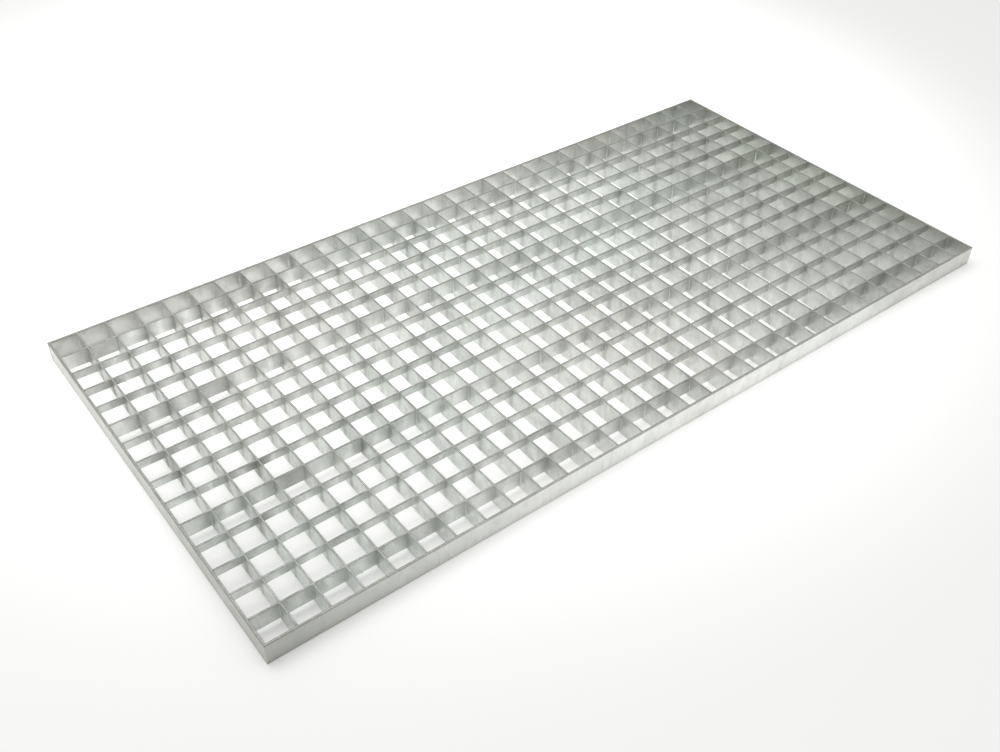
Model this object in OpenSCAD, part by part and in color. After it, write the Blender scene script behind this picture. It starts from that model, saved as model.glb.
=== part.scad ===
// Press-locked steel grating panel, galvanised, banded all round.
// X runs along the long side, Y along the short side and Z up.
// The origin is the middle of the underside. All sizes are in millimetres.

/* [Panel] */
// Length of the panel along X, over the bands
panel_l = 1000; // [500:10:1500]
// Width of the panel along Y, over the bands
panel_w = 500; // [250:10:900]

/* [Mesh] */
// Wanted spacing of the bearing bars along X, centre to centre
bearing_pitch = 33.3; // [20:0.1:70]
// Wanted spacing of the cross bars along Y, centre to centre
cross_pitch = 33.3; // [20:0.1:70]

/* [Bearing bars] */
// Depth of the load-bearing bars
bearing_h = 25; // [16:1:60]
// Thickness of the load-bearing bars
bearing_t = 2; // [1.5:0.5:6]

/* [Cross bars] */
// Depth of the cross bars, which end flush with the top
cross_h = 10; // [4:1:15]
// Depth of the few deep cross bars, which are flush with the top too
deep_cross_h = 20; // [10:1:25]
// How many cross bars are deep, from the first one to the last one
deep_bars = 4; // [2:1:6]
// Thickness of the cross bars
cross_t = 2; // [1.5:0.5:6]

/* [Bands] */
// Depth of the flat bar round the edge, flush with the top
band_h = 25; // [16:1:60]
// Thickness of the flat bar round the edge
band_t = 3; // [2:0.5:8]

/* [Hidden] */

// The meshes are spread evenly over the panel, so the real spacing is the
// nearest one to the wanted spacing that divides the side.
cells_x = round(panel_l / bearing_pitch);
cells_y = round(panel_w / cross_pitch);
pitch_x = panel_l / cells_x;
pitch_y = panel_w / cells_y;

top = max(bearing_h, band_h);
inner_x = panel_l / 2 - band_t;
inner_y = panel_w / 2 - band_t;

// The welded grid comes in three sections that meet on the face of a bearing bar.
SECTIONS = 3;
function bar_x(i) = -panel_l / 2 + i * pitch_x;
function bar_y(j) = -panel_w / 2 + j * pitch_y;

// The deep cross bars are spread evenly over the rows: 1, 5, 10 and 14 of 14.
function deep_row(k) = round(1 + k * (cells_y - 2) / (deep_bars - 1));
function is_deep(j) = len([for (k = [0 : deep_bars - 1]) if (j == deep_row(k)) k]) > 0;
function last_bar(section) = round(section * (cells_x - 1) / SECTIONS);
function section_start(section) =
    section == 1 ? -inner_x : bar_x(last_bar(section - 1)) + bearing_t / 2;
function section_end(section) =
    section == SECTIONS ? inner_x : bar_x(last_bar(section)) + bearing_t / 2;

ZINC = [0.66, 0.68, 0.67];
BAND_ZINC = [0.74, 0.75, 0.74];

// One load-bearing bar on edge, from the front band to the back band
module bearing_bar(i) {
    translate([bar_x(i) - bearing_t / 2, -inner_y, top - bearing_h])
        cube([bearing_t, 2 * inner_y, bearing_h]);
}

// One cross bar, pressed down into the bearing bars until it is flush
module cross_bar(j, x_from, x_to) {
    depth = is_deep(j) ? deep_cross_h : cross_h;
    translate([x_from, bar_y(j) - cross_t / 2, top - depth])
        cube([x_to - x_from, cross_t, depth]);
}

// The bars of one section, fused where they cross
module grid(section) {
    color(ZINC) union() {
        for (i = [last_bar(section - 1) + 1 : last_bar(section)]) bearing_bar(i);
        for (j = [1 : cells_y - 1])
            cross_bar(j, section_start(section), section_end(section));
    }
}

module grid_left() { grid(1); }
module grid_middle() { grid(2); }
module grid_right() { grid(3); }

// A band along one long side, over the whole length. side is -1 or 1.
module long_band(side) {
    color(BAND_ZINC)
        translate([-panel_l / 2, side * (panel_w - band_t) / 2 - band_t / 2, top - band_h])
            cube([panel_l, band_t, band_h]);
}

// A band across one end, between the two long bands. side is -1 or 1.
module end_band(side) {
    color(BAND_ZINC)
        translate([side * (panel_l - band_t) / 2 - band_t / 2, -inner_y, top - band_h])
            cube([band_t, 2 * inner_y, band_h]);
}

module band_front() { long_band(-1); }
module band_back() { long_band(1); }
module band_left() { end_band(-1); }
module band_right() { end_band(1); }

grid_left();
grid_middle();
grid_right();
band_front();
band_back();
band_left();
band_right();
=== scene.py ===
# %% [markdown]
# # A galvanised press-locked steel grating
#
# The object is a flat panel of steel bars on edge. Thin bearing bars run across
# the short side, cross bars are pressed down into slots in them, and a flat bar
# is welded round the outside as a band. The whole panel is then dipped in molten
# zinc. This lesson builds the bars as swept surfaces worked out with numpy, adds
# the zinc and the welds that hold them together, and lights the result softly.

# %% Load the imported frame
import math

import bpy
import numpy as np
from mathutils import Matrix, Vector


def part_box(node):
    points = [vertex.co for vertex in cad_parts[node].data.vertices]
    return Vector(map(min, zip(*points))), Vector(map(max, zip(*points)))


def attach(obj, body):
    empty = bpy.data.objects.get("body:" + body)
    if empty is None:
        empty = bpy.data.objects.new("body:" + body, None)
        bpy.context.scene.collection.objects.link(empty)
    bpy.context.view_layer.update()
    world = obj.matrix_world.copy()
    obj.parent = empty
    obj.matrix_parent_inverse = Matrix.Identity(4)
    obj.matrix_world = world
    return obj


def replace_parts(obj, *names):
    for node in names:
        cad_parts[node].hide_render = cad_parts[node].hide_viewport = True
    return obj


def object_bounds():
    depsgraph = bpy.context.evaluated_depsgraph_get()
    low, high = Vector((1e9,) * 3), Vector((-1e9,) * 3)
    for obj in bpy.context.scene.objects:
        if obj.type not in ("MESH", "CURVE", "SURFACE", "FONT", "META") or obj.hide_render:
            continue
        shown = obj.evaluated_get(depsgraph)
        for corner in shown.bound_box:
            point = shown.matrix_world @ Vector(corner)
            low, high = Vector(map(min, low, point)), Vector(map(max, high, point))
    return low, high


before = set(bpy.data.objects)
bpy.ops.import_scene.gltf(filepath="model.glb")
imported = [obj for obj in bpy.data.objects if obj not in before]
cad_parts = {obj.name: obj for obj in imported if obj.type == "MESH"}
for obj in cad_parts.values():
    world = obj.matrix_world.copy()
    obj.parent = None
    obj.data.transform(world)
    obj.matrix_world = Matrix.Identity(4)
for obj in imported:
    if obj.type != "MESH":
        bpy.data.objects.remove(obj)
cad_low, cad_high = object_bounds()
print("CAD box", [round(v, 4) for v in cad_low], [round(v, 4) for v in cad_high])

# %% [markdown]
# ## Sizes
#
# The bands give the outline, the depth and their own thickness. The mesh divides
# the outline evenly, so the pitch follows from the number of cells. Four of the
# cross bars are deeper than the others: they stiffen the panel, and they stand
# in the first row, in the last row and at two even steps between. The two edges
# are the radii to which the zinc rounds the bars and the bands.

# %% Sizes taken from the bands and the mesh
MM = 0.001
front_low, front_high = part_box("band_front")
left_low, left_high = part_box("band_left")
LENGTH = cad_high.x - cad_low.x
WIDTH = cad_high.y - cad_low.y
DEPTH = cad_high.z - cad_low.z
BAND_T = front_high.y - front_low.y
COLUMNS, ROWS = 30, 15
PITCH_X, PITCH_Y = LENGTH / COLUMNS, WIDTH / ROWS
BAR_T = 2 * MM
CROSS_DEPTH, DEEP_CROSS_DEPTH = 10 * MM, 20 * MM
DEEP_ROWS = np.array([1, 5, 10, 14])
BAR_EDGE, BAND_EDGE = 0.45 * MM, 0.6 * MM

bar_number = np.arange(1, COLUMNS)
row_number = np.arange(1, ROWS)
bar_x = cad_low.x + bar_number * PITCH_X
row_y = cad_low.y + row_number * PITCH_Y
inner_x = LENGTH / 2 - BAND_T
inner_y = WIDTH / 2 - BAND_T
row_depth = np.where(np.isin(row_number, DEEP_ROWS), DEEP_CROSS_DEPTH, CROSS_DEPTH)
rng = np.random.default_rng(25)
print("pitch", round(PITCH_X / MM, 2), "by", round(PITCH_Y / MM, 2), "mm,", bar_number.size,
      "bearing bars,", row_number.size, "cross bars")
print("bands", round(BAND_T / MM, 2), "mm thick at the front and",
      round((left_high.x - left_low.x) / MM, 2), "mm at the left end")

# %% [markdown]
# ## Helpers for swept bars
#
# Every bar here is the same kind of shape: an outline of a flat bar with rounded
# corners, carried along a straight path. All the bars of one kind are worked out
# at once, as one array with an axis for the bar, one for the station along it
# and one for the point on the outline. Rounded corners matter more than they
# seem to: zinc never leaves a sharp edge, and the soft edge catches the light.

# %% Outline of a flat bar
def flat_bar_outline(thickness, depth, radius, steps=2, rows=(0.02, 0.25, 0.5, 0.75, 0.98)):
    """Rounded rectangle: four quarter circles of one radius, joined by straight
    sides. rows are the shares of the tall sides at which they get a point more.
    The first column goes across the bar and the second one up it."""
    turn = np.linspace(0, np.pi / 2, steps + 1)
    half, low, high = thickness / 2 - radius, radius, depth - radius
    share = np.array(rows)

    def corner(across, up, start):
        return np.stack([across + radius * np.cos(start + turn),
                         up + radius * np.sin(start + turn)], -1)

    def side(across, shares):
        return np.stack([np.full(shares.size, across), low + (high - low) * shares], -1)

    return np.concatenate([
        corner(half, high, 0.0),
        corner(-half, high, np.pi / 2),
        side(-thickness / 2, share[::-1]),
        corner(-half, low, np.pi),
        corner(half, low, 1.5 * np.pi),
        side(thickness / 2, share)])


# %% Faces of swept shapes, and the mesh that holds them
SHARP_ANGLE = math.radians(50)


def swept_faces(shapes, stations, ring):
    """Quads between neighbouring rings: station s with s + 1, point r with r + 1,
    and one flat cap at each end of every shape."""
    first = np.arange(shapes)[:, None, None] * stations * ring
    station = np.arange(stations - 1)[None, :, None] * ring
    here = np.arange(ring)[None, None, :]
    after = (here + 1) % ring
    base = first + station
    quads = np.stack([base + here, base + after, base + ring + after, base + ring + here], -1)
    start = first[:, 0, :] + here[0, 0][::-1]
    end = first[:, 0, :] + (stations - 1) * ring + here[0, 0]
    return quads.reshape(-1, 4), np.concatenate([start, end])


def signed_volume(points, quads):
    """Sum over the faces of a . (b x c) / 6 for both triangles of each quad."""
    a, b, c, d = (points[quads[:, k]] for k in range(4))
    return (np.einsum("ij,ij->i", a, np.cross(b, c)).sum()
            + np.einsum("ij,ij->i", a, np.cross(c, d)).sum()) / 6


def make_piece(name, points, **coats):
    """A mesh of swept shapes. points has the axes shape, station, ring and xyz.
    Faces are turned round if the signed volume says that they point inwards.
    Each coat, such as the one of painted shade and dirt, is a number per point that the finish can read."""
    shapes, stations, ring, _ = points.shape
    flat = points.reshape(-1, 3)
    quads, caps = swept_faces(shapes, stations, ring)
    if signed_volume(flat, quads) < 0:
        quads, caps = quads[:, ::-1], caps[:, ::-1]
    mesh = bpy.data.meshes.new(name)
    mesh.from_pydata(flat.tolist(), [], quads.tolist() + caps.tolist())
    mesh.shade_smooth()
    mesh.set_sharp_from_angle(angle=SHARP_ANGLE)
    for coat, values in coats.items():
        layer = mesh.attributes.new(coat, "FLOAT", "POINT")
        spread = np.broadcast_to(values, points.shape[:3]).astype(np.float32)
        layer.data.foreach_set("value", spread.ravel())
    mesh.validate()
    piece = bpy.data.objects.new(name, mesh)
    bpy.context.scene.collection.objects.link(piece)
    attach(piece, "root")
    print(name, len(flat), "points,", len(quads) + len(caps), "faces")
    return piece


# %% [markdown]
# ## Zinc on the surface
#
# Molten zinc leaves a skin that is a little thicker here and thinner there. A
# small sum of sine waves, added across each bar, gives that unevenness to the
# shape itself. The colour gets painted shade as well: every crossing is darkened
# in its corners, more towards the far left corner and the left end, a few
# corners get a dark spot of painted shade, and the tops of all the bars are
# painted darker than their sides.

# %% Waves in the zinc skin and the painted shade at each crossing
def zinc_waves(along, up, seed):
    """Three sine waves of 23, 9 and 4 mm along the bar, shifted by the height and
    by the bar's own seed, with amplitudes that add up to 1."""
    return (0.5 * np.sin(along * 273 + seed)
            + 0.3 * np.sin(along * 698 + up * 310 + 2.1 * seed)
            + 0.2 * np.sin(along * 1571 - up * 520 + 3.7 * seed))


BAR_SKIN = 0.05 * MM
# Painted shade on the tops of the bars and the bands, and the margin below the top edge from which it
# starts.
TOP_SHADE, TOP_MARGIN = 0.7, 0.05 * MM
CORNER_REACH, SHADE_SPOT_REACH = 4.5 * MM, 8 * MM
# Painted shade at each crossing: the least, and how much more it may get at random.
LEAST_CROSSING_SHADE, MORE_CROSSING_SHADE = 0.1, 0.3
# More painted shade at the crossings near the far left corner and along the left end: strength and reach.
FAR_LEFT_SHADE, FAR_LEFT_REACH = 0.2, 0.3
LEFT_END_SHADE, LEFT_END_REACH = 0.25, 0.22
# Dark spots of painted shade, mostly in corners by the back band and the deep bars: the bearing bar, the
# place in rows of the mesh, the strength.
SHADE_SPOTS = np.array([(1, 14.35, 1.0), (1.6, 14, 0.5), (5, 14.4, 0.8), (6, 13.5, 0.6), (7, 14.6, 0.6),
                   (8, 13.5, 0.6), (9, 14.6, 0.6), (3.1, 9.2, 0.7), (3.5, 10, 0.35), (3, 6, 0.7),
                   (3.5, 5, 0.5), (2.1, 5, 0.5), (1, 5, 0.45), (1, 7.6, 0.5), (2, 4, 0.6), (1, 2.9, 0.5)])
# Painted shade in the corners of every crossing, darker at random, and more towards the far left corner
# and the left end.
crossing_grime = LEAST_CROSSING_SHADE + MORE_CROSSING_SHADE * rng.random((bar_number.size, row_number.size)) ** 2
far_left = np.exp(-((bar_x[:, None] - cad_low.x) / FAR_LEFT_REACH) ** 2
                  - ((row_y[None, :] - cad_high.y) / FAR_LEFT_REACH) ** 2)
left_end = np.exp(-((bar_x[:, None] - cad_low.x) / LEFT_END_REACH) ** 2)
crossing_grime += FAR_LEFT_SHADE * far_left + LEFT_END_SHADE * left_end


def shade_spot_at(x, y):
    """Largest of the bells of the painted shade spots: full strength in the middle, gone 16 mm away."""
    spot_x = cad_low.x + SHADE_SPOTS[:, 0] * PITCH_X
    spot_y = cad_low.y + SHADE_SPOTS[:, 1] * PITCH_Y
    away = ((x[..., None] - spot_x) ** 2 + (y[..., None] - spot_y) ** 2) / SHADE_SPOT_REACH ** 2
    return (SHADE_SPOTS[:, 2] * np.exp(-away)).max(-1)


def top_grime(up, depth, edge):
    """Painted shade on the top face, at depth, and on the rounded edges beside it."""
    return TOP_SHADE * (up > depth - edge - TOP_MARGIN)


def grime_of_bar(crossing, gap, x, y, up, depth):
    """The painted shade of the nearest crossing, which fades with the gap to it, or the
    dark spot of painted shade at x and y, or the painted shade on the top, whichever is the strongest."""
    grime = crossing * np.exp(-(gap / CORNER_REACH) ** 2)
    grime = np.maximum(grime, shade_spot_at(*np.broadcast_arrays(x, y)))
    return np.maximum(grime, top_grime(up, depth, BAR_EDGE))


print("grime at the crossings from", crossing_grime.min().round(2), "to",
      crossing_grime.max().round(2))

# %% [markdown]
# ## Bearing bars
#
# A bearing bar is 25 mm deep and 2 mm thick. It has a slot for every cross bar,
# and the press that closes the slot swells the steel beside it. Stations are
# close together round each crossing, where the top edge dips under the cross bar
# and the sides swell, and far apart between. Each bar also bows by a fraction of
# a millimetre, since no real bar is straight.

# %% Stations round each crossing, and what the bars of both kinds share
def stations_round(places, offsets, reach, end_step):
    """Every place with every offset, the middle between places, the two ends at
    -reach and reach, and one station end_step inside each end."""
    around = (places[:, None] + offsets[None, :]).ravel()
    middle = (places[1:] + places[:-1]) / 2
    ends = np.array([-reach, -reach + end_step, reach - end_step, reach])
    return np.sort(np.concatenate([around, middle, ends]))


def nearest(places, along):
    """Which place is nearest to each station, and how far away it is."""
    gap = np.abs(along[:, None] - places[None, :])
    return gap.argmin(1), gap.min(1)


def bow(along, seed, slow, quick):
    """Two waves along a bar, each given by its height and its radians a metre."""
    return slow[0] * np.sin(along * slow[1] + seed) + quick[0] * np.sin(along * quick[1] + 2 * seed)


def near_top(up, depth, share):
    """0 in the lower part of a bar, and then up to 1 over its top share."""
    return np.clip((up / depth - (1 - share)) / share, 0, 1)


# %% Bearing bars
DIP, DIP_REACH = 0.5 * MM, 1.6 * MM
SWELL, SWELL_AT, SWELL_REACH = 0.22 * MM, 2.6 * MM, 1.3 * MM
slot_offsets = np.array([-5, -2.6, -1.15, 1.15, 2.6, 5]) * MM
bar_y = stations_round(row_y, slot_offsets, inner_y, 8 * MM)
which_row, row_gap = nearest(row_y, bar_y)
bar_outline = flat_bar_outline(BAR_T, DEPTH, BAR_EDGE)
slot_dip = DIP * np.exp(-(row_gap / DIP_REACH) ** 4)
swelling = SWELL * np.exp(-((row_gap - SWELL_AT) / SWELL_REACH) ** 2)

across, up = bar_outline[:, 0][None, None, :], bar_outline[:, 1][None, None, :]
y = bar_y[None, :, None]
seed = rng.uniform(0, 40, bar_number.size)[:, None, None]
rise = near_top(up, DEPTH, 0.2)
skin = np.sign(across) * (swelling[None, :, None] * rise + BAR_SKIN * zinc_waves(y, up, seed))
x = bar_x[:, None, None] + bow(y, seed, (0.22 * MM, 11), (0.1 * MM, 37)) + across + skin
z = cad_low.z + up - slot_dip[None, :, None] * rise
bar_points = np.stack(np.broadcast_arrays(x, y, z), -1)
# Painted shade of the crossings, the dark spots and the top.
bar_grime = grime_of_bar(crossing_grime[:, which_row][:, :, None], row_gap[None, :, None],
                         bar_x[:, None, None], y, up, DEPTH)
bearing_bars = make_piece("bearing_bars", bar_points, grime=bar_grime)
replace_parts(bearing_bars, "grid_left", "grid_middle", "grid_right")

# %% [markdown]
# ## Cross bars
#
# The cross bars run the long way, flush with the top. They are swept in the same
# way, once for the ten shallow ones and once for the four deep ones, because the
# two kinds have different outlines. The press leaves the top of a cross bar a
# little wider over each bearing bar.

# %% Cross bars
PRESS, PRESS_REACH = 0.15 * MM, 1.8 * MM
TOP_SWAY = 0.04 * MM
# Painted shade on the cross bars towards the right end: strength, where it starts, and the run over which
# it grows.
CROSS_RIGHT_SHADE, CROSS_SHADE_FROM, CROSS_SHADE_OVER = 0.3, 0.1, 0.3
press_offsets = np.array([-3.2, -1.3, 1.3, 3.2]) * MM
cross_x = stations_round(bar_x, press_offsets, inner_x, 6 * MM)
which_bar, bar_gap = nearest(bar_x, cross_x)


def cross_bars(name, rows, depth):
    """Outline of one flat bar carried along X in each of the rows, with its top
    edge level with the panel's top and wider by the press over each bearing bar.
    Painted shade darkens the bars towards the right end."""
    outline = flat_bar_outline(BAR_T, depth, BAR_EDGE, rows=(0.04, 0.35, 0.7, 0.96))
    across, up = outline[:, 0][None, None, :], outline[:, 1][None, None, :]
    x = cross_x[None, :, None]
    seed = rng.uniform(0, 40, rows.size)[:, None, None]
    pressed = PRESS * np.exp(-(bar_gap / PRESS_REACH) ** 2)[None, :, None]
    rise = near_top(up, depth, 0.4)
    skin = np.sign(across) * (pressed * rise + BAR_SKIN * zinc_waves(x, up, seed))
    middle_line = row_y[rows - 1][:, None, None]
    y = middle_line + bow(x, seed, (0.18 * MM, 9), (0.08 * MM, 31)) + across + skin
    z = cad_high.z - TOP_SWAY - depth + up + TOP_SWAY * np.sin(x * 23 + seed)
    z = np.minimum(z, cad_high.z)
    grime = grime_of_bar(crossing_grime[which_bar][:, rows - 1].T[:, :, None],
                         bar_gap[None, :, None], x, middle_line, up, depth)
    right_end = CROSS_RIGHT_SHADE * np.clip((x - CROSS_SHADE_FROM) / CROSS_SHADE_OVER, 0, 1)
    return make_piece(name, np.stack(np.broadcast_arrays(x, y, z), -1), grime=grime, dull=right_end)


shallow_rows = np.setdiff1d(row_number, DEEP_ROWS)
shallow_cross_bars = cross_bars("shallow_cross_bars", shallow_rows, CROSS_DEPTH)
deep_cross_bars = cross_bars("deep_cross_bars", DEEP_ROWS, DEEP_CROSS_DEPTH)

# %% [markdown]
# ## Bands
#
# The band is a 25 by 3 mm flat bar. The two long sides run over the whole length
# and the two ends stand between them, with their ends let into them a little. A
# flat bar this long is never quite flat, so the band gets slow waves of a tenth
# of a millimetre.

# %% Bands
BAND_SKIN, BAND_STEP = 0.06 * MM, 6 * MM
# Painted shade at the foot of the band, where it stands on the floor, and how far up it reaches.
FOOT_SHADE, FOOT_REACH = 0.25, 3 * MM
END_OVERLAP = 0.3 * MM
band_outline = flat_bar_outline(BAND_T, DEPTH, BAND_EDGE, steps=3,
                                rows=(0.02, 0.2, 0.4, 0.6, 0.8, 0.98))


def along_band(share, values):
    """The values, which stand at even steps of the band, read at each share of it."""
    return np.interp(share, np.linspace(0, 1, len(values)), values)[:, None]


def band(name, start, end, node, seed, outer_dull, inner_dull):
    """The band outline carried from start to end, with waves that stay inside the
    outer face: the skin moves in by 0 to 0.12 mm and never out. Painted shade
    darkens the foot and the top. The two lists give the painted shade of each
    face at even steps from start to end."""
    start, end = np.array(start), np.array(end)
    run = end - start
    length = np.linalg.norm(run)
    forward = run / length
    sideways = np.array([-forward[1], forward[0]])
    share = np.linspace(0, 1, int(length / BAND_STEP) + 1)
    along = share[:, None] * length
    across, up = band_outline[:, 0][None, :], band_outline[:, 1][None, :]
    skin = -np.sign(across) * BAND_SKIN * (1 + zinc_waves(along * 0.4, up * 0.4, seed))
    offset = across + skin
    place = start + share[:, None, None] * run + offset[..., None] * sideways
    z = np.broadcast_to(cad_low.z + up, place.shape[:2])
    points = np.concatenate([place, z[..., None]], -1)
    grime = FOOT_SHADE * np.exp(-(up / FOOT_REACH) ** 2) + top_grime(up, DEPTH, BAND_EDGE)
    outwards = offset * (sideways @ (start + end)) > 0
    dull = np.where(outwards, along_band(share, outer_dull), along_band(share, inner_dull))
    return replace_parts(make_piece(name, points[None], grime=grime[None], dull=dull[None]), node)


middle_y = (WIDTH - BAND_T) / 2
middle_x = (LENGTH - BAND_T) / 2
# The two lists after each band's seed are painted shade along its outer and its inner face.
front_band = band("front_band", (-LENGTH / 2, -middle_y), (LENGTH / 2, -middle_y), "band_front", 3,
                  [0.95, 0.5, 0.15, 0.0, 0.0, 0.1, 0.3], [0.3])
back_band = band("back_band", (-LENGTH / 2, middle_y), (LENGTH / 2, middle_y), "band_back", 11,
                 [0.8, 0.3, 0.2, 0.3, 0.8], [0.6, 0.25, 0.1, 0.3, 0.5])
end_y = inner_y + END_OVERLAP
left_band = band("left_band", (-middle_x, -end_y), (-middle_x, end_y), "band_left", 17,
                 [0.9, 0.7, 0.5], [0.3])
right_band = band("right_band", (middle_x, -end_y), (middle_x, end_y), "band_right", 29,
                  [0.9, 0.7, 0.9], [0.4, 0.2, 0.4])
bands = [front_band, back_band, left_band, right_band]

# %% [markdown]
# ## Zinc fillets at the crossings
#
# When the panel comes out of the bath, zinc stays in the four corners of every
# crossing and sets as a small hollow fillet, thickest near the foot, where it ran
# down. There are 406 crossings, so a fillet has only a few faces: a hollow arc
# of four points, closed by the corner itself, at four heights.

# %% Shapes that stand in a corner
def standing(ring, corner, side, low, high, share, size):
    """Copies of a ring stacked up each corner, from low to high at the shares of
    the way, and scaled by size, which has a number per corner and level. side has
    the two signs of the quarter that the shape fills. Where they differ, the ring
    is mirrored, and its points are put in the other order."""
    xy = (corner[:, None, None, :]
          + side[:, None, None, :] * ring[None, None, :, :] * size[:, :, None, None])
    z = low[:, None] + (high - low)[:, None] * share[None, :]
    z = np.broadcast_to(z[:, :, None], xy.shape[:3])
    points = np.concatenate([xy, z[..., None]], -1)
    mirrored = side.prod(1) < 0
    points[mirrored] = points[mirrored][:, :, ::-1]
    return points


# %% Zinc fillets
FILLET_LEVELS = np.array([0.0, 0.12, 0.5, 1.0])
FILLET_SIZES = np.array([0.2, 1.25, 0.95, 0.6])
FILLET_HANG, FILLET_RADIUS = (0.2, 1.4), (0.5, 1.3)
FILLET_SHADE = 0.7


def fillets(corner, side, low, high, radius):
    """Ring: the corner, pushed a little into the steel, then an arc that bends
    towards the corner. The fillet is thin at its foot, widest just above it and
    narrower towards its head."""
    turn = np.linspace(0, np.pi / 2, 4)
    hollow = np.stack([1 - np.sin(turn), 1 - np.cos(turn)], -1)
    ring = np.concatenate([[[-0.25, -0.25]], [[1.0, -0.25]], hollow[1:3], [[-0.25, 1.0]]])
    size = radius[:, None] * FILLET_SIZES[None, :]
    return standing(ring, corner, side, low, high, FILLET_LEVELS, size)


quarter = np.array([(-1, -1), (-1, 1), (1, -1), (1, 1)])
column, row, which = np.meshgrid(np.arange(bar_number.size), np.arange(row_number.size),
                                 np.arange(4), indexing="ij")
column, row, which = column.ravel(), row.ravel(), which.ravel()
corner = np.stack([bar_x[column], row_y[row]], -1) + quarter[which] * BAR_T / 2
fillet_low = cad_high.z - row_depth[row] - rng.uniform(*FILLET_HANG, column.size) * MM
fillet_high = np.full(column.size, cad_high.z - 0.5 * MM)
fillet_radius = rng.uniform(*FILLET_RADIUS, column.size) * MM
fillet_points = fillets(corner, quarter[which], fillet_low, fillet_high, fillet_radius)
# Each fillet gets 0.7 of its crossing's painted shade.
fillet_grime = FILLET_SHADE * crossing_grime[column, row][:, None, None]
zinc_fillets = make_piece("zinc_fillets", fillet_points, grime=fillet_grime)

# %% [markdown]
# ## Welds
#
# The ends of the bars are welded to the band from the inside. A weld bead is a
# fat fillet with a ripple for every step of the torch, so it stands in its corner
# as the fillets do, with a row of ripples up its height. Every second weld is on
# the other side of its bar. The seams at the four corners of the band show on the
# end faces as a low bead.

# %% Welds inside the band
BEAD_LEVELS, BEAD_RIPPLES, BEAD_RIPPLE = 15, 5, 0.11
BEAD_RADIUS = 0.82
BAR_WELD_FOOT, BAR_WELD_HEAD = (2, 4), (15, 19)
WELD_GRIME = 0.06


def beads(name, corner, side, low, high, thinnest, fattest):
    """Like fillets, with an arc that bulges outwards. The radius of each bead is
    drawn between thinnest and fattest, in mm. It swells and shrinks by a ninth
    with the ripples and tapers at both ends."""
    radius = rng.uniform(thinnest, fattest, low.size) * MM
    first_ripple = rng.uniform(0, 6, low.size)
    share = np.linspace(0, 1, BEAD_LEVELS)
    turn = np.linspace(0, np.pi / 2, 5)
    bulge = BEAD_RADIUS * np.stack([np.cos(turn), np.sin(turn)], -1)
    ring = np.concatenate([[[-0.2, -0.2]], [[BEAD_RADIUS, -0.2]], bulge, [[-0.2, BEAD_RADIUS]]])
    taper = np.clip(np.sin(np.pi * share) * 2.5, 0.25, 1)
    wave = 1 + BEAD_RIPPLE * np.sin(share[None, :] * 2 * np.pi * BEAD_RIPPLES + first_ripple[:, None])
    size = radius[:, None] * taper[None, :] * wave
    points = standing(ring, corner, side, low, high, share, size)
    return make_piece(name, points, grime=WELD_GRIME)


bar_end = np.repeat([-1, 1], bar_number.size)
bar_hand = np.tile(np.where(bar_number % 2 == 0, 1, -1), 2)
bar_corner = np.stack([np.tile(bar_x, 2) + bar_hand * BAR_T / 2, bar_end * inner_y], -1)
weld_low = cad_low.z + rng.uniform(*BAR_WELD_FOOT, bar_end.size) * MM
weld_high = cad_low.z + rng.uniform(*BAR_WELD_HEAD, bar_end.size) * MM
bar_welds = beads("bar_end_welds", bar_corner, np.stack([bar_hand, -bar_end], -1),
                  weld_low, weld_high, 1.5, 2.1)

row_end = np.repeat([-1, 1], row_number.size)
row_hand = np.tile(np.where(row_number % 2 == 0, 1, -1), 2)
row_corner = np.stack([row_end * inner_x, np.tile(row_y, 2) + row_hand * BAR_T / 2], -1)
row_weld_low = cad_high.z - np.tile(row_depth, 2) + 0.6 * MM
row_weld_high = np.full(row_end.size, cad_high.z - 1.2 * MM)
cross_welds = beads("cross_end_welds", row_corner, np.stack([-row_end, row_hand], -1),
                    row_weld_low, row_weld_high, 1.2, 1.7)

# %% Seams at the corners of the band
SEAM_LEVELS, SEAM_RIPPLES, SEAM_RIPPLE = 25, 8, 0.12
SEAM_HALF_WIDTH, SEAM_BULGE, SEAM_SUNK = 1.6 * MM, 0.5, 0.3
SEAM_GAP = 1 * MM
SEAM_GRIME, SEAM_DULL = 0.15, 0.6


def corner_seams():
    """A low rounded bead on each end face, where the end band meets the long band:
    half an ellipse 3.2 mm wide, sunk so that only 0.2 mm of it stands proud, with
    eight ripples. It leaves a gap at the top and at the bottom."""
    share = np.linspace(0, 1, SEAM_LEVELS)
    turn = np.linspace(0, np.pi, 9)
    end = np.array([-1, -1, 1, 1])[:, None, None]
    side = np.array([-1, 1, -1, 1])[:, None, None]
    taper = np.clip(np.sin(np.pi * share) * 3, 0.2, 1)[None, :, None]
    wave = 1 + SEAM_RIPPLE * np.sin(share * 2 * np.pi * SEAM_RIPPLES)[None, :, None]
    proud = (SEAM_BULGE * np.sin(turn) - SEAM_SUNK)[None, None, :] * MM * wave * taper
    x = end * (LENGTH / 2 + proud)
    y = side * inner_y + SEAM_HALF_WIDTH * np.cos(turn)[None, None, :] * wave * taper
    z = cad_low.z + SEAM_GAP + (DEPTH - 2 * SEAM_GAP) * share[None, :, None]
    points = np.stack(np.broadcast_arrays(x, y, z), -1)
    points[:2] = points[:2][:, :, ::-1]
    return make_piece("corner_seams", points, grime=SEAM_GRIME, dull=SEAM_DULL)


seams = corner_seams()

# %% [markdown]
# ## Zinc drops
#
# The last zinc to leave the panel gathers on the lower edges of the cross bars
# and sets as small hanging drops. A drop is an oval that shrinks as it goes
# down, like half of an egg, and it starts a little way inside the bar.

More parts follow.
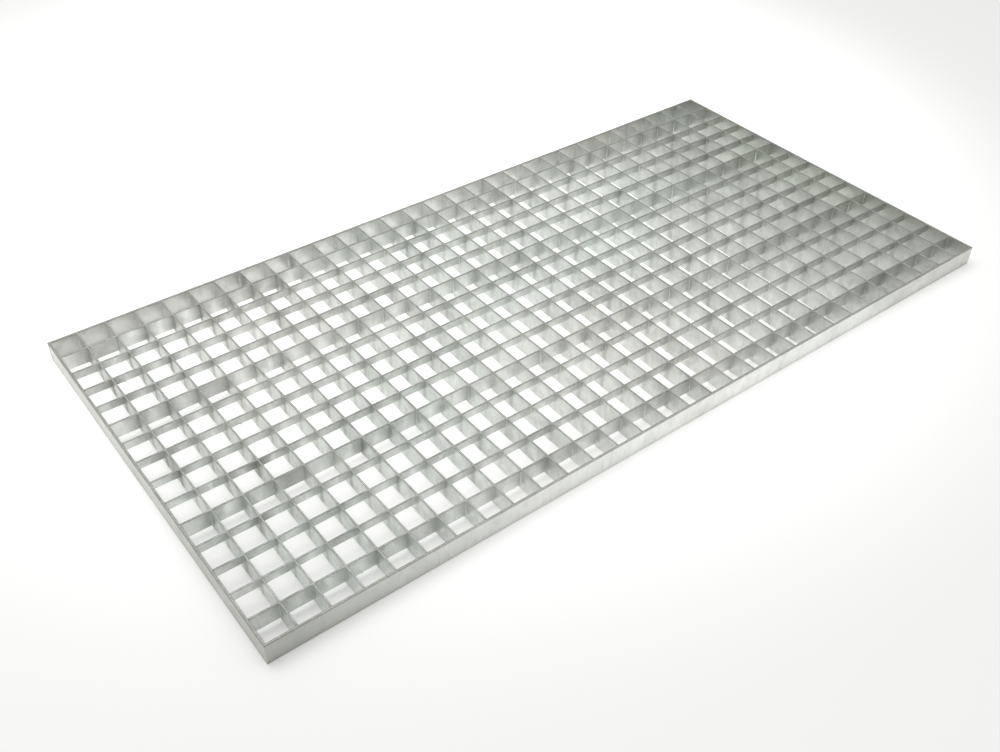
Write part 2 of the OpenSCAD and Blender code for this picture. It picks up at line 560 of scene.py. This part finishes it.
# %% Zinc drops
DROPS = 90
DROP_LONG, DROP_WIDE, DROP_FALL = 1.5, 0.85, 1.6
DROP_START = 0.3 * MM
DROP_GRIME = 0.1
drop_row = rng.integers(0, row_number.size, DROPS)
drop_x = rng.uniform(-inner_x + 6 * MM, inner_x - 6 * MM, DROPS)
drop_size = rng.uniform(0.7, 1.25, DROPS) * MM
fall = np.linspace(0, 0.98, 6)
round_turn = np.linspace(0, 2 * np.pi, 9)[:-1]
drop_radius = drop_size[:, None] * np.sqrt(1 - fall[None, :] ** 2)
drop_points = np.stack(np.broadcast_arrays(
    drop_x[:, None, None] + DROP_LONG * drop_radius[:, :, None] * np.cos(round_turn),
    row_y[drop_row][:, None, None] + DROP_WIDE * drop_radius[:, :, None] * np.sin(round_turn),
    (cad_high.z - row_depth[drop_row] + DROP_START)[:, None, None]
    - DROP_FALL * drop_size[:, None, None] * fall[None, :, None]), -1)
zinc_drops = make_piece("zinc_drops", drop_points, grime=DROP_GRIME)

# %% [markdown]
# ## The finish: hot-dip galvanising
#
# Fresh galvanising is a bright grey metal with spangle, the flower pattern of
# zinc crystals, and it dulls in clouds as it ages. The material is a metal whose
# colour comes from patterns in the object's own coordinates: crystals from a
# Voronoi texture, dull clouds, a slow warm or green tint and runs from noise, and
# painted shade with a faint green tint that gets stronger towards the right end.
# Over them lie the two coats that the meshes carry as attributes. One is painted
# shade on the bands and towards the right end of the cross bars, and a dull grey
# on the corner seams. The other is painted shade at the crossings, on the tops
# and at the foot of the bands, and a little dirt on the welds, the seams and the
# drops. A little bump from fine noise and from the crystals breaks up the
# reflections.

# %% The galvanised finish
class Nodes:
    """A small hand for building node trees: add a node, set its inputs, link."""

    def __init__(self, owner):
        """Give a material or a world an empty node tree."""
        owner.use_nodes = True
        self.tree = owner.node_tree
        self.tree.nodes.clear()

    def put(self, value, socket):
        """Link the socket to value if that comes from a node, or else set it."""
        if isinstance(value, bpy.types.NodeSocket):
            self.tree.links.new(value, socket)
        else:
            socket.default_value = value

    def add(self, kind, inputs=None, **settings):
        """A node with its settings, and with a value or a link for some inputs."""
        node = self.tree.nodes.new(kind)
        for key, value in settings.items():
            setattr(node, key, value)
        for key, value in (inputs or {}).items():
            self.put(value, node.inputs[key])
        return node

    def spread(self, value, low, high, to_low, to_high, curve="LINEAR"):
        """value from low..high to to_low..to_high, clamped, in a straight line or,
        with the curve SMOOTHSTEP, along an S that starts and ends level."""
        node = self.add("ShaderNodeMapRange", {"Value": value, "From Min": low, "From Max": high,
                                               "To Min": to_low, "To Max": to_high},
                        interpolation_type=curve)
        return node.outputs["Result"]

    def blend(self, share, first, second, mode="MIX"):
        """Colour first where share is 0 and, where it is 1, colour second or, with
        the mode MULTIPLY, first times second."""
        node = self.add("ShaderNodeMix", data_type="RGBA", blend_type=mode)
        colours = [s for s in node.inputs if s.type == "RGBA"]
        for value, socket in zip([share, first, second], [node.inputs["Factor"], *colours]):
            self.put(value, socket)
        return next(s for s in node.outputs if s.type == "RGBA")

    def maths(self, operation, first, second):
        """The result of one operation on two numbers."""
        node = self.add("ShaderNodeMath", {0: first, 1: second}, operation=operation)
        return node.outputs[0]

    def looked_at(self):
        """1 where the camera, a reflection or a clear surface looks, 0 for light."""
        seen = self.add("ShaderNodeLightPath").outputs
        through = self.maths("MAXIMUM", seen["Is Glossy Ray"], seen["Is Transmission Ray"])
        return self.maths("MAXIMUM", seen["Is Camera Ray"], through)


# Coat colours: a grey for painted shade and dull zinc, a near black for painted shade and dirt.
DULL_AND_SHADE_GREY, DIRT_AND_SHADE_DARK = (0.4, 0.4, 0.375, 1.0), (0.085, 0.085, 0.07, 1.0)
COOL, WARM = (0.975, 1.0, 0.98, 1.0), (1.0, 0.995, 0.975, 1.0)
# A green grey of painted shade towards the right end, and the dark of the runs.
RIGHT_SHADE_GREEN, RUN = (0.72, 0.745, 0.695, 1.0), (0.3, 0.31, 0.29, 1.0)
FACET_LIFT = 1.28


def galvanised(name, bright, dull, rough_low, rough_high, spangle_scale):
    """Colour: bright zinc, blended to dull zinc by the clouds, lighter in some of
    the crystals, greyed by the coat of painted shade and dull grey, times the tint
    and the painted shade towards the right end, and darkened by runs and by the
    coat of painted shade and dirt. Roughness follows clouds, crystals and that
    coat of painted shade and dirt."""
    material = bpy.data.materials.new(name)
    n = Nodes(material)
    place = n.add("ShaderNodeTexCoord").outputs["Object"]
    crystals = n.add("ShaderNodeTexVoronoi", {"Vector": place, "Scale": spangle_scale})
    crystal = n.add("ShaderNodeSeparateColor", {"Color": crystals.outputs["Color"]})
    clouds = n.add("ShaderNodeTexNoise", {"Vector": place, "Scale": 16.0, "Detail": 5.0,
                                          "Roughness": 0.62}).outputs["Fac"]
    tint = n.add("ShaderNodeTexNoise", {"Vector": place, "Scale": 3.2, "Detail": 2.0}).outputs["Fac"]
    streaks_place = n.add("ShaderNodeMapping", {"Vector": place, "Scale": (60.0, 60.0, 14.0)})
    streaks = n.add("ShaderNodeTexNoise", {"Vector": streaks_place.outputs["Vector"], "Scale": 4.0,
                                           "Detail": 3.0}).outputs["Fac"]
    grain = n.add("ShaderNodeTexNoise", {"Vector": place, "Scale": 900.0, "Detail": 2.0}).outputs["Fac"]
    grime = n.add("ShaderNodeAttribute", attribute_name="grime").outputs["Fac"]
    dull_coat = n.add("ShaderNodeAttribute", attribute_name="dull").outputs["Fac"]
    where = n.add("ShaderNodeSeparateXYZ", {"Vector": place}).outputs
    off_middle = n.maths("MULTIPLY", where["Y"], where["Y"])

    colour = n.blend(n.spread(clouds, 0.38, 0.66, 0.0, 1.0), bright, dull)
    light_facet = (*[min(1.0, c * FACET_LIFT) for c in bright[:3]], 1.0)
    facets = n.blend(n.spread(crystal.outputs["Red"], 0.0, 1.0, 0.0, 0.35), colour, light_facet)
    # Greyed by the coat of painted shade and dull grey.
    facets = n.blend(n.spread(dull_coat, 0.0, 1.0, 0.0, 0.9), facets, DULL_AND_SHADE_GREY)
    warmth = n.blend(n.spread(tint, 0.35, 0.65, 0.0, 1.0), COOL, WARM)
    # Painted shade with a faint green tint, growing towards the right end, weaker near the long sides.
    right_shade = n.maths("MULTIPLY", n.spread(where["X"], 0.2, 0.5, 0.0, 1.0),
                      n.spread(off_middle, 0.01, 0.055, 1.0, 0.55))
    tinted = n.blend(1.0, facets, n.blend(right_shade, warmth, RIGHT_SHADE_GREEN), mode="MULTIPLY")
    streaked = n.blend(n.spread(streaks, 0.55, 0.8, 0.0, 0.28), tinted, RUN)
    broken = n.maths("MULTIPLY", n.spread(grain, 0.3, 0.7, 0.75, 1.15), grime)
    # Darkened by the coat of painted shade and dirt.
    finished = n.blend(n.spread(broken, 0.0, 1.0, 0.0, 0.9), streaked, DIRT_AND_SHADE_DARK)

    rough = n.maths("ADD", n.spread(clouds, 0.3, 0.7, rough_low, rough_high),
                    n.spread(crystal.outputs["Green"], 0.0, 1.0, -0.07, 0.07))
    rough = n.maths("ADD", rough, n.spread(grime, 0.0, 1.0, 0.0, 0.25))
    relief = n.add("ShaderNodeBump", {"Height": crystal.outputs["Blue"], "Strength": 0.12,
                                      "Distance": 0.0002})
    skin = n.add("ShaderNodeBump", {"Height": grain, "Strength": 0.25, "Distance": 0.00015,
                                    "Normal": relief.outputs["Normal"]})
    shader = n.add("ShaderNodeBsdfPrincipled", {"Base Color": finished, "Metallic": 0.88,
                                                "Roughness": rough, "Specular IOR Level": 0.5,
                                                "Normal": skin.outputs["Normal"]})
    n.add("ShaderNodeOutputMaterial", {"Surface": shader.outputs["BSDF"]})
    return material


# Five copies of one finish at different brightness for each kind of part: painted light and shade, the
# bands lightest and the bearing bars and welds darkest.
bar_zinc = galvanised("bar_zinc", (0.74, 0.75, 0.74, 1.0), (0.62, 0.63, 0.62, 1.0), 0.34, 0.52, 120.0)
band_zinc = galvanised("band_zinc", (0.83, 0.835, 0.82, 1.0), (0.69, 0.695, 0.68, 1.0), 0.3, 0.46, 95.0)
cross_zinc = galvanised("cross_zinc", (0.76, 0.77, 0.76, 1.0), (0.61, 0.62, 0.61, 1.0), 0.38, 0.55, 120.0)
deep_zinc = galvanised("deep_zinc", (0.79, 0.8, 0.79, 1.0), (0.63, 0.64, 0.63, 1.0), 0.36, 0.53, 120.0)
weld_zinc = galvanised("weld_zinc", (0.74, 0.75, 0.73, 1.0), (0.6, 0.61, 0.59, 1.0), 0.4, 0.58, 300.0)

finished_pieces = [
    (bar_zinc, "bar_zinc", [bearing_bars, zinc_fillets]),
    (cross_zinc, "bar_zinc", [shallow_cross_bars, zinc_drops]),
    (deep_zinc, "bar_zinc", [deep_cross_bars]),
    (band_zinc, "band_zinc", bands),
    (weld_zinc, "band_zinc", [bar_welds, cross_welds, seams])]
for finish, slot_name, pieces in finished_pieces:
    for piece in pieces:
        piece.data.materials.append(finish)
    print(finish.name, "on", ", ".join(piece.name for piece in pieces))

# %% [markdown]
# ## Floor, light and air
#
# The panel lies on a plain white sheet under two broad soft lamps, one high up
# behind its left end and one almost overhead. The first throws the bars' shadows
# down and towards the front, so they hide behind the bars in the far rows and
# show in the near rows. The floor is white paper, and a share of plain white is
# added to what the camera and the metal's reflections see of it, so that it
# stays white and keeps the shadows. That share is a painted pool of light: it is
# strongest round the middle of the panel, weaker about a metre away, and strong
# again far off.

# %% Floor
def white_floor(reach, cells, level):
    """A square sheet of cells by cells at one level, reach metres each way."""
    steps = np.linspace(-reach, reach, cells + 1)
    gx, gy = np.meshgrid(steps, steps, indexing="ij")
    points = np.stack([gx, gy, np.full_like(gx, level)], -1).reshape(-1, 3)
    here = (np.arange(cells)[:, None] * (cells + 1) + np.arange(cells)[None, :]).ravel()
    quads = np.stack([here, here + cells + 1, here + cells + 2, here + 1], -1)
    mesh = bpy.data.meshes.new("floor")
    mesh.from_pydata(points.tolist(), [], quads.tolist())
    sheet = bpy.data.objects.new("floor", mesh)
    bpy.context.scene.collection.objects.link(sheet)
    return sheet


FLOOR_REACH, FLOOR_CELLS = 40.0, 4
FLOOR_DROP = 0.2 * MM
# A painted pool of light on the floor: its strength near the middle, about a metre round and far off, and
# where its middle is.
LIFT_NEAR, LIFT_ROUND, LIFT_FAR = 0.48, 0.08, 0.6
LIFT_MIDDLE = (0.1, 0.4, 0.0)
floor = white_floor(FLOOR_REACH, FLOOR_CELLS, cad_low.z - FLOOR_DROP)
floor_white = bpy.data.materials.new("floor_white")
n = Nodes(floor_white)
paper = n.add("ShaderNodeBsdfDiffuse", {"Color": (0.8, 0.8, 0.79, 1.0)})
place = n.add("ShaderNodeTexCoord").outputs["Object"]
away = n.add("ShaderNodeVectorMath", {0: place, 1: LIFT_MIDDLE}, operation="DISTANCE").outputs["Value"]
level = n.maths("ADD", n.spread(away, 0.45, 0.98, LIFT_NEAR, LIFT_ROUND, "SMOOTHSTEP"),
                n.spread(away, 1.1, 3.5, 0.0, LIFT_FAR - LIFT_ROUND, "SMOOTHSTEP"))
lift = n.add("ShaderNodeEmission", {"Color": (1.0, 1.0, 0.99, 1.0),
                                    "Strength": n.maths("MULTIPLY", n.looked_at(), level)})
both = n.add("ShaderNodeAddShader", {0: paper.outputs["BSDF"], 1: lift.outputs["Emission"]})
n.add("ShaderNodeOutputMaterial", {"Surface": both.outputs["Shader"]})
floor.data.materials.append(floor_white)
print("floor reaches", FLOOR_REACH, "m each way")

# %% Air and lamps
WORLD_LEVEL = 0.66
world = bpy.data.worlds.new("studio")
bpy.context.scene.world = world
n = Nodes(world)
level = n.spread(n.looked_at(), 0.0, 1.0, WORLD_LEVEL, 1.0)
air = n.add("ShaderNodeBackground", {"Color": (1.0, 1.0, 1.0, 1.0), "Strength": level})
n.add("ShaderNodeOutputWorld", {"Surface": air.outputs["Background"]})


def lamp(name, azimuth, elevation, distance, size, watts):
    """A square area lamp of a size in metres, aimed at the panel's middle from a
    distance. Azimuth goes from +Y towards +X and elevation up from the floor, both
    in degrees."""
    turn, rise = math.radians(azimuth), math.radians(elevation)
    place = distance * Vector((math.cos(rise) * math.sin(turn), math.cos(rise) * math.cos(turn),
                               math.sin(rise)))
    light = bpy.data.lights.new(name, "AREA")
    light.size = size
    light.energy = watts
    holder = bpy.data.objects.new(name, light)
    holder.location = place
    holder.rotation_euler = (-place).to_track_quat("-Z", "Y").to_euler()
    bpy.context.scene.collection.objects.link(holder)
    return holder


lamps = [
    lamp("key_lamp", azimuth=-40.0, elevation=64.0, distance=3.0, size=1.8, watts=20.5),
    lamp("top_lamp", azimuth=-40.0, elevation=86.0, distance=3.0, size=2.8, watts=26.0)]
for holder in lamps:
    print(holder.name, holder.data.energy, "W at", [round(v, 2) for v in holder.location])

# %% [markdown]
# ## Camera
#
# The camera stands in front of the left end, a little under a metre up, and
# looks down along the panel. Its place is given as an aim point on the panel, a
# direction and a distance, which is easier to read and to change than a matrix.

# %% Camera
AIM = Vector((-0.1223, -0.0812, 0.0125))
LOOK_AZIMUTH, LOOK_DOWN, ROLL = 38.209, 40.799, 1.139
DISTANCE = 1.1942
SENSOR_WIDTH, LENS = 36.0, 39.263
turn = (Matrix.Rotation(math.radians(-LOOK_AZIMUTH), 4, "Z")
        @ Matrix.Rotation(math.radians(90 - LOOK_DOWN), 4, "X")
        @ Matrix.Rotation(math.radians(ROLL), 4, "Z"))
camera_data = bpy.data.cameras.new("camera")
camera_data.sensor_width = SENSOR_WIDTH
camera_data.lens = LENS
camera = bpy.data.objects.new("camera", camera_data)
bpy.context.scene.collection.objects.link(camera)
camera.matrix_world = Matrix.Translation(AIM + turn.to_3x3() @ Vector((0, 0, DISTANCE))) @ turn
bpy.context.scene.camera = camera
bpy.context.scene.view_settings.view_transform = "Standard"
print("camera at", [round(v, 3) for v in camera.matrix_world.translation])
